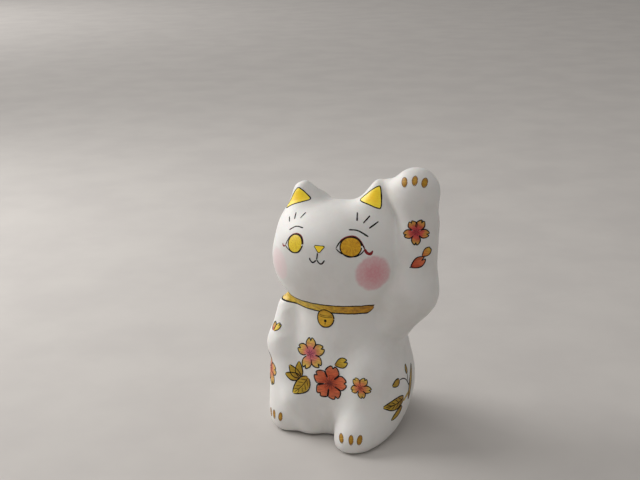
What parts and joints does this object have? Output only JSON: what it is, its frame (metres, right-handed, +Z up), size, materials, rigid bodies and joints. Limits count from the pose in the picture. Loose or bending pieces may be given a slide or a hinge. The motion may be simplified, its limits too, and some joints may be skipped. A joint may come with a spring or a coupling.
{
  "type": "beckoning cat figurine",
  "caption": "Seated beckoning cat figurine: hollow matt ceramic body with a raised paw, painted face, collar and blossoms, and a soft stopper in its base.",
  "frame": {"origin": "on the table plane, under the middle of the figure's bounding box", "axes": "+Z up; the cat faces -Y; its own left side and raised paw are towards +X"},
  "size_m": [0.0697, 0.0637, 0.1046],
  "materials": {
    "bisque": "matt, unglazed, faintly brushed white",
    "stopper_rubber": "soft, satin, translucent white",
    "gold_paint": "acrylic film in warm gold, satin",
    "ink": "black fineliner ink",
    "blush_paint": "soft pink chalky paint",
    "blossom_paint": "acrylic film, gold to coral and pink",
    "leaf_paint": "acrylic film, ochre gold"
  },
  "bodies": {
    "figure": {"body_shell": "bisque", "arm_blossom": "blossom_paint", "arm_petals": "blossom_paint", "bell": "gold_paint", "belly_blossom": "blossom_paint", "belly_petal": "blossom_paint", "broad_leaf": "leaf_paint", "bud_leaf": "leaf_paint", "chest_blossom": "blossom_paint", "collar_band": "gold_paint", "hip_blossom": "blossom_paint", "left_blush": "blush_paint", "left_brow": "ink", "left_ear_lining": "gold_paint", "left_eye": "gold_paint", "left_foot_claws": "gold_paint", "mouth": "ink", "nose": "gold_paint", "raised_paw_claws": "gold_paint", "right_blush": "blush_paint", "right_brow": "ink", "right_ear_lining": "gold_paint", "right_eye": "gold_paint", "right_foot_claws": "gold_paint", "shoulder_petal": "blossom_paint", "side_twig": "leaf_paint", "thigh_blossom": "blossom_paint"},
    "stopper": {"base_stopper": "stopper_rubber"}
  },
  "joints": [
    {"name": "stopper_pull", "type": "slide", "parent": "figure", "child": "stopper", "axis": [0, 0, -1], "range_m": [0, 0.018]}
  ]
}
